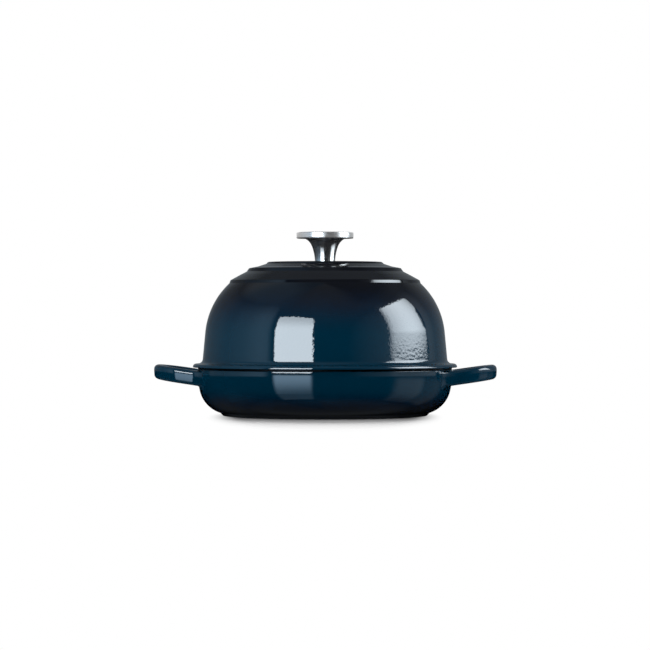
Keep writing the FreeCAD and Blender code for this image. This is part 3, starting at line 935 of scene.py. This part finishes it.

# The painted reflections of the softboxes fade downwards, and the right one has a faint, wide spill
left_painted_reflection = window(bearing, -46, -12, 2) * window(rise, -45, 0.8, 1)
left_painted_reflection = left_painted_reflection * (LEFT_FAINT + LEFT_BRIGHT * smooth_step(rise, -30, 0))
right_painted_reflection = window(bearing, 66, 100, 6) * window(rise, -45, -3, 4)
right_painted_reflection = right_painted_reflection * (RIGHT_FAINT + RIGHT_BRIGHT * smooth_step(rise, -50, -8))
right_spill = RIGHT_SPILL * window(bearing, 66, 128, 8) * window(rise, -40, -3, 4)
mirrored = left_painted_reflection + np.maximum(right_painted_reflection, right_spill)
print("brightest table and mirrored softbox:", round(table.max(), 2), round(mirrored.max(), 2))

# %% Make the room
STUDIO_RADIUS = 3300.0

studio_glow = np.maximum(ceiling, walls) + np.maximum(table, mirrored)

# The wall on the left and the painted reflection of the left softbox are blue
blue_wall = window(bearing, -120, -40, 15) * above_table
blue_painted_reflection = window(bearing, -52, -6, 3) * smooth_step(rise, 2, 0)
studio_blue = np.maximum(blue_wall, blue_painted_reflection)
studio = STUDIO_RADIUS * np.stack([
    np.sin(bearing * DEGREE + CAMERA_TURN) * np.cos(rise * DEGREE),
    -np.cos(bearing * DEGREE + CAMERA_TURN) * np.cos(rise * DEGREE),
    np.sin(rise * DEGREE),
], axis=-1)
reflected_only("studio", studio, studio_glow, studio_blue)

# %% [markdown]
# ## Softboxes
#
# A softbox is a lamp behind a white cloth, on a frame with rounded corners. An area lamp has hard edges and
# one brightness all over, and the enamel would mirror both. A panel with marks can fade at its edges and
# fall off inside them, so each softbox is a panel with its own formula for its light.

# %% Tool for a softbox
SOFTBOX_CORNER = 110.0
SOFTBOX_POINTS = 90


def softbox(name, left, right, low, high, distance, blur, glow):
    """Upright panel between two bearings and two elevations, all in degrees, seen from the object.

    With p the way from the middle and q = |p| less half the size plus the corner, the signed distance from
    the rounded edge is |max(q, 0)| + min(max(q), 0) - corner. The panel fades out towards that edge. Inside
    it, glow gives the light for a bearing and an elevation.
    """
    middle = (left + right) / 2
    facing = middle * DEGREE + CAMERA_TURN
    half = distance * math.tan((right - left) / 2 * DEGREE)
    along, height = np.meshgrid(
        np.linspace(-half, half, SOFTBOX_POINTS),
        distance * np.linspace(math.tan(low * DEGREE), math.tan(high * DEGREE), SOFTBOX_POINTS),
    )
    grid = np.stack([
        distance * math.sin(facing) + along * math.cos(facing),
        -distance * math.cos(facing) + along * math.sin(facing),
        height + STUDIO_MIDDLE,
    ], axis=-1)
    q = np.stack([along, height - (height.min() + height.max()) / 2])
    q = np.abs(q) - np.abs(q).max(axis=(1, 2), keepdims=True) + SOFTBOX_CORNER
    edge = np.hypot(*np.maximum(q, 0)) + np.minimum(q.max(axis=0), 0) - SOFTBOX_CORNER
    bearings = middle + np.degrees(np.arctan2(along, distance))
    rises = np.degrees(np.arctan2(height, np.hypot(along, distance)))
    reflected_only(name, grid, glow(bearings, rises) * smooth_step(edge, 0, -blur), 0.0)


# %% The left softbox
LEFT_GLOW = 16.5
LEFT_TOP_LOSS = 6.0


def left_glow(_, rises):
    """Brightest in its lower half."""
    return LEFT_GLOW - LEFT_TOP_LOSS * smooth_step(rises, 14, 31)


softbox(
    "softbox_left", left=-47.6, right=-10.6, low=1.0, high=31.9, distance=1800.0, blur=25.0, glow=left_glow
)

# %% The right softbox
RIGHT_GLOW = 13.0
RIGHT_MIDDLE = 84.0
RIGHT_HALF = 27.0
RIGHT_FALL = 0.68
START_GLOW = 0.25
END_GLOW = 0.05
END_SHIFT = 4.0
FOOT_SLOPE = 0.045
FOOT_BEARING = 62.3
FOOT_GLOW = (0.12, 0.66, 0.22)


def right_glow(bearings, rises):
    """Falls off with the square of the bearing from its middle, and is dimmer at its foot and both edges.

    The foot hangs lower on the right, so the bearing is added to the elevation there. Between two
    elevations the right edge comes a few degrees sooner.
    """
    falling = 1 - RIGHT_FALL * ((bearings - RIGHT_MIDDLE) / RIGHT_HALF) ** 2
    starting = START_GLOW + (1 - START_GLOW) * smooth_step(bearings, 60, 69)
    shifted = bearings + END_SHIFT * window(rises, 9.5, 26, 2)
    ending = END_GLOW + (1 - END_GLOW) * smooth_step(shifted, 113, 110)
    foot = rises + FOOT_SLOPE * (bearings - FOOT_BEARING)
    lowest, step_up, last_step = FOOT_GLOW
    upwards = lowest + step_up * smooth_step(foot, 5.2, 8.0) + last_step * smooth_step(foot, 7.6, 11.0)
    return RIGHT_GLOW * falling * starting * ending * upwards


softbox(
    "softbox_right", left=60.8, right=112.0, low=3.0, high=41.5, distance=1700.0, blur=80.0, glow=right_glow
)

# %% [markdown]
# ## Cards for the knob
#
# Brushed steel needs light from the sides as well, or its ends turn dark. The softboxes can't reach so far
# round, and a brighter room would show on the enamel. So two white cards stand beside the knob, as flat
# lamps that are linked to it alone.

# %% Two cards beside the knob
CARD_DISTANCE = 0.6
CARD_HEIGHT = 0.28

lit_by_cards = bpy.data.collections.new("lit_by_cards")
lit_by_cards.objects.link(knob_skin)


def card(name, left, right, glow):
    """Flat lamp between two bearings in degrees; pi watts on each square metre make it as bright as white."""
    middle = (left + right) / 2 * DEGREE + CAMERA_TURN
    width = 2 * CARD_DISTANCE * math.tan((right - left) / 2 * DEGREE)
    lamp = bpy.data.lights.new(name, "AREA")
    lamp.shape = "RECTANGLE"
    lamp.size = width
    lamp.size_y = CARD_HEIGHT
    lamp.energy = math.pi * width * CARD_HEIGHT * glow
    stand = bpy.data.objects.new(name, lamp)
    stand.location = (
        CARD_DISTANCE * math.sin(middle),
        -CARD_DISTANCE * math.cos(middle),
        KNOB_TOP * MM + CARD_HEIGHT / 2,
    )
    stand.rotation_euler = (math.pi / 2, 0.0, middle)
    stand.visible_camera = False
    stand.light_linking.receiver_collection = lit_by_cards
    scene.collection.objects.link(stand)
    print(f"{name}: {width:.2f} m wide, {lamp.energy:.2f} W")


card("card_left", left=-176.0, right=-68.0, glow=0.9)
card("card_right", left=124.0, right=178.0, glow=0.7)
